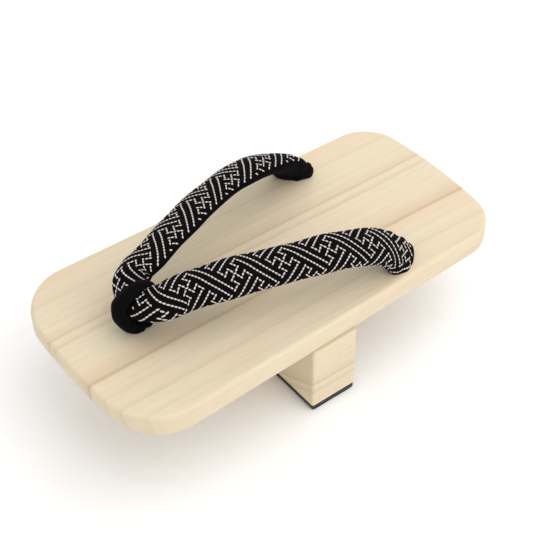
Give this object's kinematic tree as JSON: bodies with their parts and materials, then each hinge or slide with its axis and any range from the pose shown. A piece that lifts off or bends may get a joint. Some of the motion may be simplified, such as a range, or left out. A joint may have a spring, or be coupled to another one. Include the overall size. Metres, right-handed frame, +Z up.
{
  "type": "one-tooth geta sandal",
  "caption": "Wooden sandal: a rounded flat deck on a cross tooth shod with ribbed rubber, worn by a padded patterned V strap with a velvet toe loop.",
  "frame": {"origin": "on the floor, under the middle of the deck's length and width", "axes": "+Y towards the toe, +Z up, +X to the wearer's right"},
  "size_m": [0.1312, 0.265, 0.1012],
  "materials": {
    "deck_wood": "pale planed wood, bare, with fine straight grain",
    "tooth_wood": "pale planed wood, bare",
    "tread_rubber": "matt, finely ribbed",
    "strap_cloth": "black woven cloth with a pale key fret",
    "loop_velvet": "black velvet",
    "heel_twine": "undyed wound twine",
    "cap_brass": "bright pressed sheet"
  },
  "bodies": {
    "root": {"deck_board": "deck_wood", "tooth_block": "tooth_wood", "tooth_tread": "tread_rubber", "strap": "strap_cloth", "toe_loop": "loop_velvet", "heel_twine": "heel_twine", "toe_cap": "cap_brass"}
  },
  "joints": []
}
